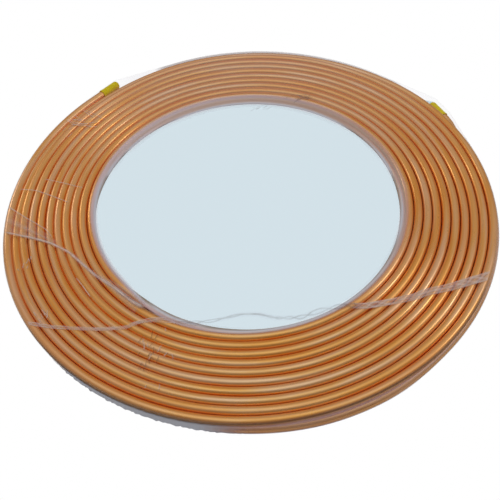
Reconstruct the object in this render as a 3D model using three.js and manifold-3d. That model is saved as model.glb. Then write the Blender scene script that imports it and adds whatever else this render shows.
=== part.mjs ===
// A coil of soft copper tube, as sold for refrigeration and air conditioning. One length of tube
// is wound inwards as a flat spiral, crosses to the layer below at the bore, and is wound outwards
// again. Both ends finish on the rim, each in a plastic cap, and a clear film is pulled taut over
// the coil. Millimetres, +Z up, the floor at Z = 0 and the coil's axis on Z.
import * as THREE from "three";
import { ConvexGeometry } from "three/addons/geometries/ConvexGeometry.js";
import { mergeGeometries, mergeVertices } from "three/addons/utils/BufferGeometryUtils.js";
import Module from "manifold-3d";

// Tube and winding. Angles are in degrees, from +X towards +Y.
const tubeDiameter = 9.52;
const turnGap = 0.1; // between neighbouring turns of a layer
const turnsPerLayer = 10;
const innerTurnRadius = 173.2; // centre line of a layer's innermost whole turn, where its tail leaves
const upperLeaveAngle = 139; // where the upper layer's outermost turn leaves for its cap
const lowerLeaveAngle = 19.5; // and where the lower layer's does
const tailLength = 58; // from there to the end of the tube
const tailBend = 26; // the first stretch of it, over which it bends clear
const crossoverAngle = 220; // where the tube leaves the upper layer at the bore
const crossoverSweep = 20; // how far round it goes on its way down

// End caps
const capLength = 32;
const capWall = 1;
const capEndWall = 1.6;
const capEndRound = 4; // radius of the closed end's edge
const capFit = 0.3; // round the tube in it
const capEndGap = 1; // between the tube's end and the cap's
const capGap = 0.35; // between the cap and the turns beside it

// Film
const filmThickness = 0.4;
const filmGap = 0.3; // between the film and what it covers
const filmOpeningRadius = 195; // its underside ends here, clear of the bore

// Facets
const turnFacetAngle = 7.5; // round the coil
const tubeFacets = 10; // round the tube
const tailSteps = 8;
const capFacets = 20;
const capRoundFacets = 4;
const filmOpeningFacets = 48;
const weldDistance = 1e-3; // points nearer than this are one
const joinDepth = 3; // how far a tube reaches into the winding that it is joined to
const joinInset = 0.05; // how much smaller it is there, so that no two faces coincide

const facet = 360 / tubeFacets;
const tubeRadius = tubeDiameter / 2;
const turnPitch = tubeDiameter + turnGap;
const outerTurnRadius = innerTurnRadius + turnsPerLayer * turnPitch;
const coilBase = filmThickness + filmGap; // the lowest point of the copper
const lowerHeight = coilBase + tubeRadius; // centre line of the lower layer
const upperHeight = lowerHeight + tubeDiameter;
const capOuterRadius = tubeRadius + capFit + capWall;
const tubeInCap = capLength - capEndWall - capEndGap;
// A tail bends outwards, so that its cap clears the next turn, and towards the other layer, so
// that the cap lies between the planes of the coil's two faces.
const tailShiftOut = capOuterRadius + capGap + tubeRadius - turnPitch;
const tailShiftIn = capOuterRadius - tubeRadius;

const wasm = await Module();
wasm.setup();

function solidOf(geometry) {
  geometry.deleteAttribute("normal");
  geometry.deleteAttribute("uv");
  const merged = mergeVertices(geometry, weldDistance);
  const mesh = new wasm.Mesh({
    numProp: 3,
    vertProperties: merged.attributes.position.array,
    triVerts: new Uint32Array(merged.index.array),
  });
  return new wasm.Manifold(mesh);
}

function geometryOf(solid) {
  const { vertProperties, triVerts } = solid.getMesh();
  const geometry = new THREE.BufferGeometry();
  geometry.setAttribute("position", new THREE.BufferAttribute(vertProperties, 3));
  geometry.setIndex(new THREE.BufferAttribute(triVerts, 1));
  geometry.computeVertexNormals();
  return geometry;
}

const radians = THREE.MathUtils.degToRad;
const { lerp, smoothstep } = THREE.MathUtils;

// A path round the coil's axis, whose radius and height follow the angle. Its tangent is the
// circle's and not its own, so that every section stays on a radius and the winding meets itself.
class WindingPath extends THREE.Curve {
  constructor(fromAngle, toAngle, radiusAt, heightAt) {
    super();
    this.fromAngle = fromAngle;
    this.toAngle = toAngle;
    this.radiusAt = radiusAt;
    this.heightAt = heightAt;
  }

  getPoint(t, target = new THREE.Vector3()) {
    const degrees = lerp(this.fromAngle, this.toAngle, t);
    const radius = this.radiusAt(degrees);
    const x = radius * Math.cos(radians(degrees));
    const y = radius * Math.sin(radians(degrees));
    return target.set(x, y, this.heightAt(degrees));
  }

  getTangent(t, target = new THREE.Vector3()) {
    const degrees = lerp(this.fromAngle, this.toAngle, t);
    return target.set(-Math.sin(radians(degrees)), Math.cos(radians(degrees)), 0);
  }
}

// Sections are drawn by how far a point lies outside the path and above it. An extrusion along a
// WindingPath takes a shape's X downwards and its Y towards the axis.
function sectionPoint(outwards, upwards) {
  return new THREE.Vector2(-upwards, -outwards);
}

// A point on a turn's round, by its direction in degrees from straight up, positive outwards. side
// is 1 for the layer seen from above and -1 for the one seen from below.
function turnPoint(turn, direction, side, radius = tubeRadius) {
  const outwards = radius * Math.sin(radians(direction)) - turn * turnPitch;
  return sectionPoint(outwards, side * radius * Math.cos(radians(direction)));
}

function turnRound(turn, from, to, side, radius) {
  const facets = Math.round(Math.abs(to - from) / facet);
  const points = [];
  for (let i = 0; i <= facets; i++) points.push(turnPoint(turn, lerp(from, to, i / facets), side, radius));
  return points;
}

// The groove inside a turn, between it and the next.
function groove(turn, side) {
  return sectionPoint(-(turn + 0.5) * turnPitch, side * tubeRadius * Math.cos(radians(2 * facet)));
}

// The section of a layer, from its outermost turn inwards: a row of rounds on the face that
// shows, with a groove between neighbours, and flat where it lies on the other layer.
function layerSection(side) {
  const points = [];
  const last = turnsPerLayer - 1;
  for (let turn = 0; turn <= last; turn++) {
    points.push(...turnRound(turn, turn === 0 ? 180 : facet, turn === last ? -180 : -facet, side));
    if (turn < last) points.push(groove(turn, side));
  }
  for (let turn = last - 1; turn > 0; turn--) points.push(turnPoint(turn, 180, side));
  return points;
}

// After a full turn a layer has moved in or out by one pitch and meets its own beginning. What is
// left bare there is the end of the outermost turn at one end and of the innermost at the other.
function outerStep(side) {
  return [...turnRound(0, 180, -facet, side), groove(0, side), ...turnRound(1, facet, 180, side)];
}

function innerStep(side) {
  const last = turnsPerLayer - 1;
  const next = turnRound(last - 1, -180, -facet, side);
  return [...turnRound(last, facet, -180, side), ...next, groove(last - 1, side)];
}

function tubeSection(radius) {
  return new THREE.Shape(turnRound(0, 0, 360, 1, radius).slice(1));
}

function stepsAlong(path) {
  return Math.ceil((path.toAngle - path.fromAngle) / turnFacetAngle);
}

function sweep(section, path, steps) {
  return new THREE.ExtrudeGeometry(section, { steps, extrudePath: path });
}

// A sweep's sides alone, without the faces at its two ends.
function sidesOf(sweptGeometry) {
  const { start, count } = sweptGeometry.groups[1];
  const positions = sweptGeometry.attributes.position.array.slice(3 * start, 3 * (start + count));
  return new THREE.BufferGeometry().setAttribute("position", new THREE.BufferAttribute(positions, 3));
}

// A flat face at the beginning or the end of a path, looking away from the path.
function endFace(outline, path, t) {
  const face = new THREE.ShapeGeometry(new THREE.Shape(outline));
  if (t === 0) face.index.array.reverse();
  const down = new THREE.Vector3(0, 0, -1);
  const along = path.getTangent(t);
  const inwards = new THREE.Vector3().crossVectors(along, down);
  face.applyMatrix4(new THREE.Matrix4().makeBasis(down, inwards, along).setPosition(path.getPoint(t)));
  face.deleteAttribute("normal");
  face.deleteAttribute("uv");
  return face.toNonIndexed();
}

// The centre lines of the two layers' outermost turns. With a growing angle the upper layer is
// wound inwards and the lower one outwards.
function upperRadius(degrees) {
  return outerTurnRadius - ((degrees - upperLeaveAngle) / 360) * turnPitch;
}

function lowerRadius(degrees) {
  return outerTurnRadius + ((degrees - lowerLeaveAngle) / 360) * turnPitch;
}

function upperLayer() {
  const path = new WindingPath(upperLeaveAngle, upperLeaveAngle + 360, upperRadius, () => upperHeight);
  const sides = sidesOf(sweep(new THREE.Shape(layerSection(1)), path, stepsAlong(path)));
  return solidOf(mergeGeometries([sides, endFace(outerStep(1), path, 0), endFace(innerStep(1), path, 1)]));
}

function lowerLayer() {
  const path = new WindingPath(lowerLeaveAngle - 360, lowerLeaveAngle, lowerRadius, () => lowerHeight);
  const sides = sidesOf(sweep(new THREE.Shape(layerSection(-1)), path, stepsAlong(path)));
  return solidOf(mergeGeometries([sides, endFace(innerStep(-1), path, 0), endFace(outerStep(-1), path, 1)]));
}

function sweptTube(path, steps) {
  return solidOf(sweep(tubeSection(tubeRadius - joinInset), path, steps));
}

// From the upper layer's innermost whole turn the tube goes on against the wall of the bore, down
// to the lower layer's height and on to that layer's innermost whole turn.
function innerTurn() {
  const joinSweep = THREE.MathUtils.radToDeg(joinDepth / innerTurnRadius);
  const crossoverEnd = crossoverAngle + crossoverSweep;
  const share = (degrees) => smoothstep(degrees, crossoverAngle, crossoverEnd);
  const radiusAt = (degrees) =>
    lerp(upperRadius(degrees), lowerRadius(degrees - 360), share(degrees)) - turnsPerLayer * turnPitch;
  const heightAt = (degrees) => lerp(upperHeight, lowerHeight, share(degrees));
  const fromAngle = upperLeaveAngle - joinSweep;
  const toAngle = lowerLeaveAngle + 360 + joinSweep;
  const path = new WindingPath(fromAngle, toAngle, radiusAt, heightAt);
  return sweptTube(path, stepsAlong(path));
}

// An end of the tube, which bends clear of the winding and then runs straight into its cap. way
// is 1 where it leaves towards larger angles and -1 where it leaves towards smaller ones.
const tailSweep = THREE.MathUtils.radToDeg(tailLength / outerTurnRadius);
const bendSweep = (tailSweep * tailBend) / tailLength;
const tailJoinSweep = (tailSweep * joinDepth) / tailLength;

function tailOf(leaveAngle, way, turnRadius, turnHeight, shiftUp) {
  const endAngle = leaveAngle + way * tailSweep;
  const capAngle = endAngle - (way * tailSweep * tubeInCap) / tailLength / 2;
  const capRadius = turnRadius(capAngle) + tailShiftOut;
  const share = (degrees) => smoothstep(way * (degrees - leaveAngle), 0, bendSweep);
  const straight = (degrees) => capRadius / Math.cos(radians(degrees - capAngle));
  const radiusAt = (degrees) => lerp(turnRadius(degrees), straight(degrees), share(degrees));
  const heightAt = (degrees) => turnHeight + shiftUp * share(degrees);
  const startAngle = leaveAngle - way * tailJoinSweep;
  const fromAngle = Math.min(startAngle, endAngle);
  const toAngle = Math.max(startAngle, endAngle);
  const path = new WindingPath(fromAngle, toAngle, radiusAt, heightAt);
  return { path, capAngle, capRadius, capHeight: turnHeight + shiftUp, way };
}

const upperTail = tailOf(upperLeaveAngle, -1, upperRadius, upperHeight, -tailShiftIn);
const lowerTail = tailOf(lowerLeaveAngle, 1, lowerRadius, lowerHeight, tailShiftIn);

function tubeCoil() {
  const tubes = [innerTurn(), sweptTube(upperTail.path, tailSteps), sweptTube(lowerTail.path, tailSteps)];
  return geometryOf(tubes.reduce((coil, tube) => coil.add(tube), upperLayer().add(lowerLayer())));
}

// A push-on cap, turned about its own Y, with its mouth towards -Y and the origin halfway along
// the tube in it.
const capMouth = -tubeInCap / 2;
const capBoreEnd = tubeInCap / 2 + capEndGap;
const capClosedEnd = capBoreEnd + capEndWall;

// The cap's outside, from its mouth to the middle of its closed end, or a line that stands off
// from it by a distance.
function capOutside(standOff) {
  const points = [new THREE.Vector2(capOuterRadius + standOff, capMouth)];
  for (let i = 0; i <= capRoundFacets; i++) {
    const direction = (Math.PI / 2) * (i / capRoundFacets);
    const radius = capOuterRadius - capEndRound + (capEndRound + standOff) * Math.cos(direction);
    const along = capClosedEnd - capEndRound + (capEndRound + standOff) * Math.sin(direction);
    points.push(new THREE.Vector2(radius, along));
  }
  points.push(new THREE.Vector2(0, capClosedEnd + standOff));
  return points;
}

function endCap() {
  const boreRadius = tubeRadius + capFit;
  const bore = [
    new THREE.Vector2(0, capBoreEnd),
    new THREE.Vector2(boreRadius, capBoreEnd),
    new THREE.Vector2(boreRadius, capMouth),
  ];
  return new THREE.LatheGeometry([...bore, ...capOutside(0)], capFacets);
}

function placeOnTail(object, tail) {
  const angle = radians(tail.capAngle);
  object.position.set(tail.capRadius * Math.cos(angle), tail.capRadius * Math.sin(angle), tail.capHeight);
  object.rotation.z = tail.way > 0 ? angle : angle + Math.PI;
  object.updateMatrix();
  return object;
}

// Points round a tube's centre line at a place, standing off from the tube by a distance. They lie
// on a circle that the coil's facets stay inside.
function pointsRound(degrees, turnRadius, height, standOff) {
  const points = [];
  const stretch = 1 / Math.cos(radians(turnFacetAngle / 2));
  for (let direction = 0; direction <= 180; direction += facet) {
    const out = (tubeRadius + standOff) * Math.sin(radians(direction));
    const up = (tubeRadius + standOff) * Math.cos(radians(direction));
    const reach = (turnRadius + out) * stretch;
    const angle = radians(degrees);
    points.push(new THREE.Vector3(reach * Math.cos(angle), reach * Math.sin(angle), height + up));
  }
  return points;
}

function rimPoints(standOff) {
  const points = [];
  for (let turned = 0; turned <= 360; turned += turnFacetAngle) {
    const upper = upperLeaveAngle + turned;
    const lower = lowerLeaveAngle - turned;
    points.push(...pointsRound(upper, upperRadius(upper), upperHeight, standOff));
    points.push(...pointsRound(lower, lowerRadius(lower), lowerHeight, standOff));
  }
  return points;
}

function tailPoints(standOff, { path }) {
  const points = [];
  for (let i = 0; i <= tailSteps; i++) {
    const degrees = lerp(path.fromAngle, path.toAngle, i / tailSteps);
    points.push(...pointsRound(degrees, path.radiusAt(degrees), path.heightAt(degrees), standOff));
  }
  return points;
}

function capPoints(standOff, tail) {
  const place = placeOnTail(new THREE.Object3D(), tail).matrix;
  const points = [];
  for (const { x: radius, y: along } of capOutside(standOff)) {
    for (let i = 0; i < capFacets; i++) {
      const turned = (2 * Math.PI * i) / capFacets;
      const point = new THREE.Vector3(radius * Math.cos(turned), along, radius * Math.sin(turned));
      points.push(point.applyMatrix4(place));
    }
  }
  return points;
}

// What a taut skin round the coil encloses: the hull of everything it touches.
function tautHull(standOff) {
  const points = rimPoints(standOff);
  for (const tail of [upperTail, lowerTail]) {
    points.push(...tailPoints(standOff, tail), ...capPoints(standOff, tail));
  }
  return solidOf(new ConvexGeometry(points));
}

// The film is taut over both faces and round the rim, and its underside is open at the bore.
function wrapFilm() {
  const opening = new THREE.CylinderGeometry(
    filmOpeningRadius,
    filmOpeningRadius,
    2 * coilBase,
    filmOpeningFacets,
  );
  opening.rotateX(Math.PI / 2);
  const inside = tautHull(filmGap).add(solidOf(opening));
  return geometryOf(tautHull(filmGap + filmThickness).subtract(inside));
}

const copper = new THREE.MeshStandardMaterial({ color: 0xcf9060, roughness: 0.3, metalness: 1 });
const yellowPlastic = new THREE.MeshStandardMaterial({ color: 0xbeb01a, roughness: 0.5, metalness: 0 });
const clearFilm = new THREE.MeshStandardMaterial({
  color: 0xdde6ee,
  roughness: 0.15,
  metalness: 0,
  transparent: true,
  opacity: 0.2,
});

function named(name, geometry, material) {
  const mesh = new THREE.Mesh(geometry, material);
  mesh.name = name;
  return mesh;
}

const coil = new THREE.Group();
coil.add(named("tube_coil", tubeCoil(), copper));
coil.add(placeOnTail(named("upper_end_cap", endCap(), yellowPlastic), upperTail));
coil.add(placeOnTail(named("lower_end_cap", endCap(), yellowPlastic), lowerTail));
coil.add(named("wrap_film", wrapFilm(), clearFilm));

export default coil;
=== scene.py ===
import math

import bpy
import numpy as np
from mathutils import Matrix, Vector


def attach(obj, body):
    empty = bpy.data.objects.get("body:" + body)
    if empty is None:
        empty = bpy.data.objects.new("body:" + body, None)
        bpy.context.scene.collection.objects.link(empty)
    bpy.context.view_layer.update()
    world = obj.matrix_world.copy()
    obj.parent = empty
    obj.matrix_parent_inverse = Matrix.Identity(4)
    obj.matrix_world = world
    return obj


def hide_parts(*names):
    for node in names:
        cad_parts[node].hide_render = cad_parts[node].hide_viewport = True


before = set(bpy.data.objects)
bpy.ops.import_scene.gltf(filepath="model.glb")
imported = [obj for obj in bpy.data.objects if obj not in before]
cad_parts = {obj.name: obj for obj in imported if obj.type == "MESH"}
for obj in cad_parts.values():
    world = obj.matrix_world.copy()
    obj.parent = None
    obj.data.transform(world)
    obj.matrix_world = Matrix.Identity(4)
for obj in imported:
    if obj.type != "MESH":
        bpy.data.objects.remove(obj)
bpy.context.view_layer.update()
mm = 0.001
print("frame loaded")

# the winding's own sizes, in metres, and its directions, in degrees from +X
winding = {
    "tubeRadius": 4.76 * mm,
    "pitch": 9.62 * mm,
    "turns": 10,  # whole turns in each layer
    "outerRadius": 269.4 * mm,  # centre line of a layer where its tail leaves it
    "upperLeave": 139.0,
    "lowerLeave": 19.5,
    "crossFrom": 220.0,  # where the tube dives to the lower layer
    "crossSweep": 20.0,
    "upperHeight": 14.98 * mm,
    "lowerHeight": 5.46 * mm,
    "tailLength": 58 * mm,
    "tailBend": 26 * mm,
    "tubeInCap": 29.4 * mm,
    "tailOut": 1.55 * mm,  # a cap's axis lies this much outside the turn that it ends
    "tailIn": 1.3 * mm,  # and this much closer to the other layer
    "upperShift": (-4.3 * mm, 0.6 * mm, 6.5),  # the cap is then moved out and up, and splayed by some degrees
    "lowerShift": (1.8 * mm, 2.6 * mm, 5.0),
}
w = winding
tailSweep = math.degrees(w["tailLength"] / w["outerRadius"])
bendSweep = tailSweep * w["tailBend"] / w["tailLength"]
layerSweep = w["turns"] * 360
betweenLayers = 2 * layerSweep + 360  # the tube's own angle where the lower layer's angle is 0
middleTurn = (w["turns"] - 1) / 2


# 0 below low and 1 above high, and between them 3 t squared less 2 t cubed
def smooth(x, low, high):
    t = np.clip((x - low) / (high - low), 0, 1)
    return t * t * (3 - 2 * t)


# 0 up to the first of four places, 1 from the second to the third and 0 again from the fourth
def plateau(x, places):
    return smooth(x, places[0], places[1]) * (1 - smooth(x, places[2], places[3]))


# a bell curve: 1 in the middle, and 1/e at one width from it
def bell(x, middle, width, power=2):
    return np.exp(-(((x - middle) / width) ** power))


# the straight line from a at 0 to b at 1
def mix(a, b, t):
    return a + (b - a) * t


# a sum of sines, each with its size, rate and start, divided by the sum of the sizes
def waves(x, parts):
    total = sum(size * np.sin(x * rate + start) for size, rate, start in parts)
    return total / sum(size for size, _, _ in parts)


# the upper layer is wound inwards as the angle grows: one pitch less radius for each turn
def upperRadius(degrees):
    return w["outerRadius"] - (degrees - w["upperLeave"]) / 360 * w["pitch"]


# the lower layer is wound outwards: one pitch more radius for each turn
def lowerRadius(degrees):
    return w["outerRadius"] + (degrees - w["lowerLeave"]) / 360 * w["pitch"]


# where a tail's cap sits: the direction of the middle of the tube in it, which is as far round as the tail
# less half of that tube, then its distance from the axis, its height, its splay and the way it points
def capPlace(leave, way, radiusAt, height, shift):
    angle = leave + way * tailSweep * (1 - w["tubeInCap"] / w["tailLength"] / 2)
    outwards, upwards, splay = shift
    return {
        "angle": angle,
        "radius": radiusAt(angle) + w["tailOut"] + outwards,
        "height": height + way * w["tailIn"] + upwards,
        "splay": splay,
        "way": way,
    }


upperCap = capPlace(w["upperLeave"], -1, upperRadius, w["upperHeight"], w["upperShift"])
lowerCap = capPlace(w["lowerLeave"], 1, lowerRadius, w["lowerHeight"], w["lowerShift"])


# a smooth mesh with one finish, which rides on the coil's only body
def meshObject(name, points, faces, material):
    mesh = bpy.data.meshes.new(name)
    mesh.from_pydata(points.tolist(), [], faces)
    mesh.update()
    mesh.shade_smooth()
    thing = bpy.data.objects.new(name, mesh)
    bpy.context.scene.collection.objects.link(thing)
    mesh.materials.append(material)
    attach(thing, "root")
    return thing


# quads between neighbouring rows of a (rows, points, 3) grid, whose rows are closed rings or open lines
def gridFaces(rows, count, closed=True, start=0):
    i = start + np.arange(rows - 1)[:, None] * count
    j = np.arange(count if closed else count - 1)[None, :]
    k = (j + 1) % count
    quads = np.stack([i + j, i + count + j, i + count + k, i + k], axis=-1)
    return quads.reshape(-1, 4).tolist()


# triangles from a pole to each edge of a ring; on a grid's first ring they run the other way than on its last
def poleFaces(ringStart, count, pole, firstRing):
    j = np.arange(count)
    k = (j + 1) % count
    edge = [ringStart + j, ringStart + k] if firstRing else [ringStart + k, ringStart + j]
    return np.stack([np.full(count, pole)] + edge, axis=-1).tolist()


# one value or vector for each point of a mesh
def putValues(thing, name, kind, values):
    layer = thing.data.attributes.new(name, kind, "POINT")
    field = "vector" if kind == "FLOAT_VECTOR" else "value"
    layer.data.foreach_set(field, np.ascontiguousarray(values, dtype=np.float32).ravel())


# a material with an empty tree of nodes
def newMaterial(name):
    material = bpy.data.materials.new(name)
    material.use_nodes = True
    tree = material.node_tree
    tree.nodes.clear()
    return material, tree.nodes, tree.links


# a node whose inputs are set by name
def node(nodes, kind, **inputs):
    made = nodes.new(kind)
    for key, value in inputs.items():
        made.inputs[key.replace("_", " ")].default_value = value
    return made


# the value that each point of the mesh holds under this name
def attribute(nodes, name):
    made = nodes.new("ShaderNodeAttribute")
    made.attribute_name = name
    return made


# noise read at a place that is stretched by a scale of its own along each axis
def stretchedNoise(nodes, links, source, scale, detail, roughness):
    mapping = nodes.new("ShaderNodeMapping")
    mapping.inputs["Scale"].default_value = scale
    links.new(source, mapping.inputs["Vector"])
    noise = node(nodes, "ShaderNodeTexNoise", Scale=1.0, Detail=detail, Roughness=roughness)
    links.new(mapping.outputs["Vector"], noise.inputs["Vector"])
    return noise.outputs["Fac"]


# colour by a value: straight lines between the stops
def ramp(nodes, links, source, stops):
    made = nodes.new("ShaderNodeValToRGB")
    links.new(source, made.inputs["Fac"])
    while len(made.color_ramp.elements) < len(stops):
        made.color_ramp.elements.new(0.5)
    for element, (place, colour) in zip(made.color_ramp.elements, stops):
        element.position = place
        element.color = (*colour, 1)
    return made.outputs["Color"]


# the value of one range carried over to another, and held at its ends
def mapRange(nodes, links, source, fromRange, toRange):
    made = node(nodes, "ShaderNodeMapRange", From_Min=fromRange[0], From_Max=fromRange[1])
    made.inputs["To Min"].default_value = toRange[0]
    made.inputs["To Max"].default_value = toRange[1]
    links.new(source, made.inputs["Value"])
    return made.outputs["Result"]


# two colours mixed by an amount; each is a fixed colour or another node's output
def mixColours(nodes, links, amount, first, second):
    made = nodes.new("ShaderNodeMix")
    made.data_type = "RGBA"
    factor, firstSlot, secondSlot = (made.inputs[i] for i in (0, 6, 7))  # its sockets for colours
    links.new(amount, factor)
    for slot, colour in ((firstSlot, first), (secondSlot, second)):
        if isinstance(colour, tuple):
            slot.default_value = (*colour, 1)
        else:
            links.new(colour, slot)
    return made.outputs[2]


# two shaders mixed by an amount, from the first at 0 to the second at 1
def mixShaders(nodes, links, amount, first, second):
    made = nodes.new("ShaderNodeMixShader")
    links.new(amount, made.inputs["Fac"])
    links.new(first, made.inputs[1])
    links.new(second, made.inputs[2])
    return made.outputs["Shader"]


# a shader's normals tilted as if the source were a height
def addBump(nodes, links, source, strength, distance, shader):
    bump = node(nodes, "ShaderNodeBump", Strength=strength, Distance=distance)
    links.new(source, bump.inputs["Height"])
    links.new(bump.outputs["Normal"], shader.inputs["Normal"])


# drawn copper; the scales are per metre, along the tube and twice across it
copper = {
    "deep": (0.94, 0.43, 0.10),
    "middle": (0.95, 0.51, 0.18),
    "pale": (0.94, 0.57, 0.31),
    "stops": (0.36, 0.5, 0.64),
    "clouds": (9, 130, 130),
    "rosy": (0.95, 0.515, 0.28),
    "flush": (4, 90, 90),
    "flushFrom": (0.52, 0.68),
    "flushShare": 0.5,
    "rough": (0.24, 0.38),
    "patches": (25, 200, 200),
    "patchRange": (0.3, 0.7),
    "drawLines": 0.03,  # strength of the fine lines left by drawing
    "lines": (6, 1500, 1500),
    "lineDepth": 0.2 * mm,
}


# clouds of three tones along the tube with rosy patches mixed in, roughness in patches, and fine lines drawn
# along it
def copperMaterial():
    material, nodes, links = newMaterial("drawnCopper")
    output = nodes.new("ShaderNodeOutputMaterial")
    shader = node(nodes, "ShaderNodeBsdfPrincipled", Metallic=1.0)
    links.new(shader.outputs["BSDF"], output.inputs["Surface"])
    along = attribute(nodes, "tubeSpace").outputs["Vector"]  # metres along the tube, then across its section
    clouds = stretchedNoise(nodes, links, along, copper["clouds"], 4.0, 0.55)
    tones = (copper["deep"], copper["middle"], copper["pale"])
    colour = ramp(nodes, links, clouds, list(zip(copper["stops"], tones)))
    flush = stretchedNoise(nodes, links, along, copper["flush"], 2.0, 0.5)
    flushed = mapRange(nodes, links, flush, copper["flushFrom"], (0.0, copper["flushShare"]))
    links.new(mixColours(nodes, links, flushed, colour, copper["rosy"]), shader.inputs["Base Color"])
    patches = stretchedNoise(nodes, links, along, copper["patches"], 3.0, 0.5)
    rough = mapRange(nodes, links, patches, copper["patchRange"], copper["rough"])
    links.new(rough, shader.inputs["Roughness"])
    lines = stretchedNoise(nodes, links, along, copper["lines"], 3.0, 0.6)
    addBump(nodes, links, lines, copper["drawLines"], copper["lineDepth"], shader)
    return material


plastic = {
    "thin": (1.0, 0.84, 0.0),
    "thick": (0.90, 0.72, 0.0),
    "stops": (0.35, 0.65),
    "mottle": 260.0,  # per metre
    "rough": 0.42,
    "gloss": 0.25,
    "grain": 1400.0,
    "grainShare": 0.15,
    "grainDepth": 0.15 * mm,
}


# two yellows in a fine mottle, and a finer grain in the surface
def plasticMaterial():
    material, nodes, links = newMaterial("yellowPlastic")
    output = nodes.new("ShaderNodeOutputMaterial")
    shader = node(nodes, "ShaderNodeBsdfPrincipled", Roughness=plastic["rough"])
    shader.inputs["Specular IOR Level"].default_value = plastic["gloss"]
    links.new(shader.outputs["BSDF"], output.inputs["Surface"])
    place = nodes.new("ShaderNodeTexCoord").outputs["Object"]
    mottle = node(nodes, "ShaderNodeTexNoise", Scale=plastic["mottle"], Detail=3.0)
    links.new(place, mottle.inputs["Vector"])
    stops = list(zip(plastic["stops"], (plastic["thick"], plastic["thin"])))
    links.new(ramp(nodes, links, mottle.outputs["Fac"], stops), shader.inputs["Base Color"])
    grain = node(nodes, "ShaderNodeTexNoise", Scale=plastic["grain"], Detail=2.0)
    links.new(place, grain.inputs["Vector"])
    addBump(nodes, links, grain.outputs["Fac"], plastic["grainShare"], plastic["grainDepth"], shader)
    return material


film = {
    "clear": (0.985, 0.985, 0.992),
    "boreTint": (0.652, 0.757, 0.812),  # colour of what is seen through it over the bore
    "rough": 0.16,
    "mirror": (0.008, 0.3),  # share of light that it reflects, seen square on and seen along it
    "steepness": 5.0,
    "ripple": 55.0,  # per metre
    "rippleShare": 0.25,
    "rippleDepth": 1.2 * mm,
}


# clear film: light goes straight through, tinted over the bore, or is scattered where the film is bunched or
# creased and where painted shade and painted reflection lie on it, and the share that it mirrors grows with
# the fifth power of how much it is seen along
def filmMaterial():
    material, nodes, links = newMaterial("clearFilm")
    output = nodes.new("ShaderNodeOutputMaterial")
    overBore = attribute(nodes, "overBore").outputs["Fac"]
    haze = attribute(nodes, "haze").outputs["Fac"]  # how much the film is bunched or creased, and where painted shade and painted reflection lie on it
    clear = nodes.new("ShaderNodeBsdfTransparent")
    links.new(mixColours(nodes, links, overBore, film["clear"], film["boreTint"]), clear.inputs["Color"])
    milky = nodes.new("ShaderNodeBsdfDiffuse")
    links.new(attribute(nodes, "hazeTone").outputs["Vector"], milky.inputs["Color"])
    veil = mixShaders(nodes, links, haze, clear.outputs["BSDF"], milky.outputs["BSDF"])
    gloss = node(nodes, "ShaderNodeBsdfGlossy", Roughness=film["rough"], Color=(1, 1, 1, 1))
    facing = node(nodes, "ShaderNodeLayerWeight", Blend=0.5)  # the same from either side of the sheet
    steep = nodes.new("ShaderNodeMath")
    steep.operation = "POWER"
    steep.inputs[1].default_value = film["steepness"]
    links.new(facing.outputs["Facing"], steep.inputs[0])
    mirror = mapRange(nodes, links, steep.outputs[0], (0.0, 1.0), film["mirror"])
    links.new(mixShaders(nodes, links, mirror, veil, gloss.outputs["BSDF"]), output.inputs["Surface"])
    ripple = node(nodes, "ShaderNodeTexNoise", Scale=film["ripple"], Detail=3.0, Roughness=0.55)
    links.new(nodes.new("ShaderNodeTexCoord").outputs["Object"], ripple.inputs["Vector"])
    addBump(nodes, links, ripple.outputs["Fac"], film["rippleShare"], film["rippleDepth"], gloss)
    return material


copperLook = copperMaterial()
plasticLook = plasticMaterial()
filmLook = filmMaterial()
print("materials made")

# the tube, one length from cap to cap
tube = {
    "stepDegrees": 2.0,
    "sides": 20,
    "wall": 0.8 * mm,
    "trim": 2.5 * mm,  # its ends stop this much short
    "boreDepth": 10 * mm,
    "steady": (12, 40),  # it doesn't wander over the first degrees from its ends
    "liftWander": 0.13 * mm,  # how far the turns wander up and down
    "liftWaves": [(1.0, 1.37, 0.4), (1.0, 2.61, 2.0), (0.7, 5.83, 1.1), (0.5, 9.17, 0.0)],
    "sideWander": 0.05 * mm,
    "sideWaves": [(1.0, 1.71, 1.3), (1.0, 3.29, 0.2), (0.6, 7.13, 2.2)],
    "loose": 0.18 * mm,  # the turns lie this much further apart on one side, and closer on the other
    "looseSide": 20.0,
    "sunkIn": 2.6 * mm,  # the outermost turn slips in and down on the far side
    "sunkDown": 2.4 * mm,
    "sunkFrom": (385, 430, 530, 570),
    "startIn": 4.6 * mm,  # it also starts closer in, next to its cap
    "startFrom": (154, 220),
    "squeeze": 0.9 * mm,  # the lower layer lies closer on its right
    "squeezeFrom": (-80, -50, -8, 14),
    "bulge": 2.4 * mm,  # the lower layer's outermost turn stands out on the near side
    "bulgeFrom": (-110, -75, -66, -48),
    "tucked": 3.4 * mm,  # the lower layer's innermost turns lie further out on the far side
    "pressed": 1.9 * mm,  # the upper layer's innermost turns lie further out on the left
    "pressedSide": 185,
    "pressedTurns": (5, 8.5),
    "giveUpper": 1.7 * mm,  # the turns beside and below the upper cap make room for it
    "giveLower": 3.8 * mm,
    "giveSweep": 16.0,
    "giveTurns": 3,
    "giveFrom": (0.6, 0.8),
    "straightSweep": 20,
}


# distance from the axis of the straight line through a cap, which may splay outwards
def straightRun(place, degrees):
    reach = tube["straightSweep"]
    away = np.radians(np.clip(degrees - place["angle"], -reach, reach))
    splay = math.radians(place["splay"]) * place["way"]
    return place["radius"] * math.cos(splay) / np.cos(away + splay)


# how much the turns lie apart in a direction: the cosine of its angle from the loose side
def looseness(degrees):
    return np.cos(np.radians(degrees - tube["looseSide"])) * tube["loose"]


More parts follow.
